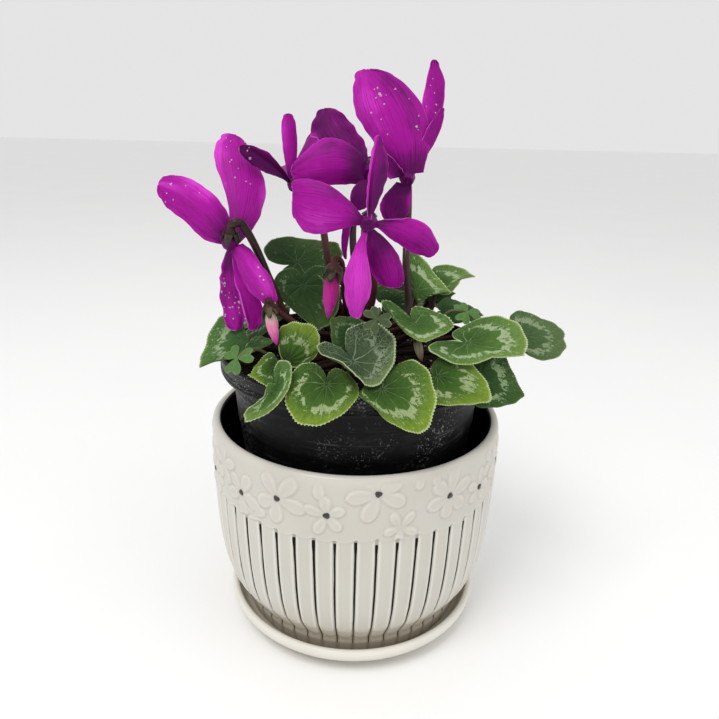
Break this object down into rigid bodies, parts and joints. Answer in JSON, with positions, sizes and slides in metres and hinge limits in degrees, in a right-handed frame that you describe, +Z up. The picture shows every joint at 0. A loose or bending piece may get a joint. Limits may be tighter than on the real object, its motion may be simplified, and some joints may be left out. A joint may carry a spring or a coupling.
{
  "type": "potted cyclamen",
  "caption": "Cyclamen in bloom, in a nursery pot set inside a fluted white ceramic planter with a daisy band, on a round saucer.",
  "frame": {"origin": "middle of the saucer's flat underside, on the surface that the plant stands on", "axes": "+Z up, out of the pot; -Y towards the side that the picture shows; +X to the right in the picture"},
  "size_m": [0.2182, 0.1773, 0.325],
  "materials": {
    "white_glaze": "warm white gloss glaze, with black lines drawn in the flutes and black dots in the daisies",
    "black_plastic": "dusty thin black nursery plastic, satin",
    "soil": "dark moist potting mix of peat and bark with pale grains",
    "tuber_and_petioles": "brown corky tuber with dull red-brown leaf stalks",
    "leaf": "satin green, marbled silver, with pale veins and a fine toothed edge",
    "petal": "silky magenta with fine lengthwise veins",
    "flower_stalk": "smooth fleshy red-brown, faintly glossy",
    "sorrel": "thin matt grey-green"
  },
  "bodies": {
    "root": {"bloom_1": "petal", "bloom_1_stalk": "flower_stalk", "bloom_2": "petal", "bloom_2_stalk": "flower_stalk", "bloom_3": "petal", "bloom_3_stalk": "flower_stalk", "bloom_4": "petal", "bloom_4_stalk": "flower_stalk", "bloom_5": "petal", "bloom_5_stalk": "flower_stalk", "bud_1": "petal", "bud_1_stalk": "flower_stalk", "bud_2": "petal", "bud_2_stalk": "flower_stalk", "bud_3": "petal", "bud_3_stalk": "flower_stalk", "leaf_01": "leaf", "leaf_02": "leaf", "leaf_03": "leaf", "leaf_04": "leaf", "leaf_05": "leaf", "leaf_06": "leaf", "leaf_07": "leaf", "leaf_08": "leaf", "leaf_09": "leaf", "leaf_10": "leaf", "leaf_11": "leaf", "leaf_12": "leaf", "leaf_13": "leaf", "leaf_14": "leaf", "leaf_15": "leaf", "leaf_16": "leaf", "leaf_17": "leaf", "leaf_18": "leaf", "leaf_19": "leaf", "leaf_20": "leaf", "leaf_21": "leaf", "leaf_22": "leaf", "leaf_23": "leaf", "leaf_24": "leaf", "leaf_25": "leaf", "leaf_26": "leaf", "leaf_27": "leaf", "leaf_28": "leaf", "leaf_29": "leaf", "leaf_30": "leaf", "nursery_pot": "black_plastic", "planter": "white_glaze", "saucer": "white_glaze", "soil": "soil", "sorrel_1": "sorrel", "sorrel_2": "sorrel", "sorrel_3": "sorrel", "tuber": "tuber_and_petioles"}
  },
  "joints": []
}
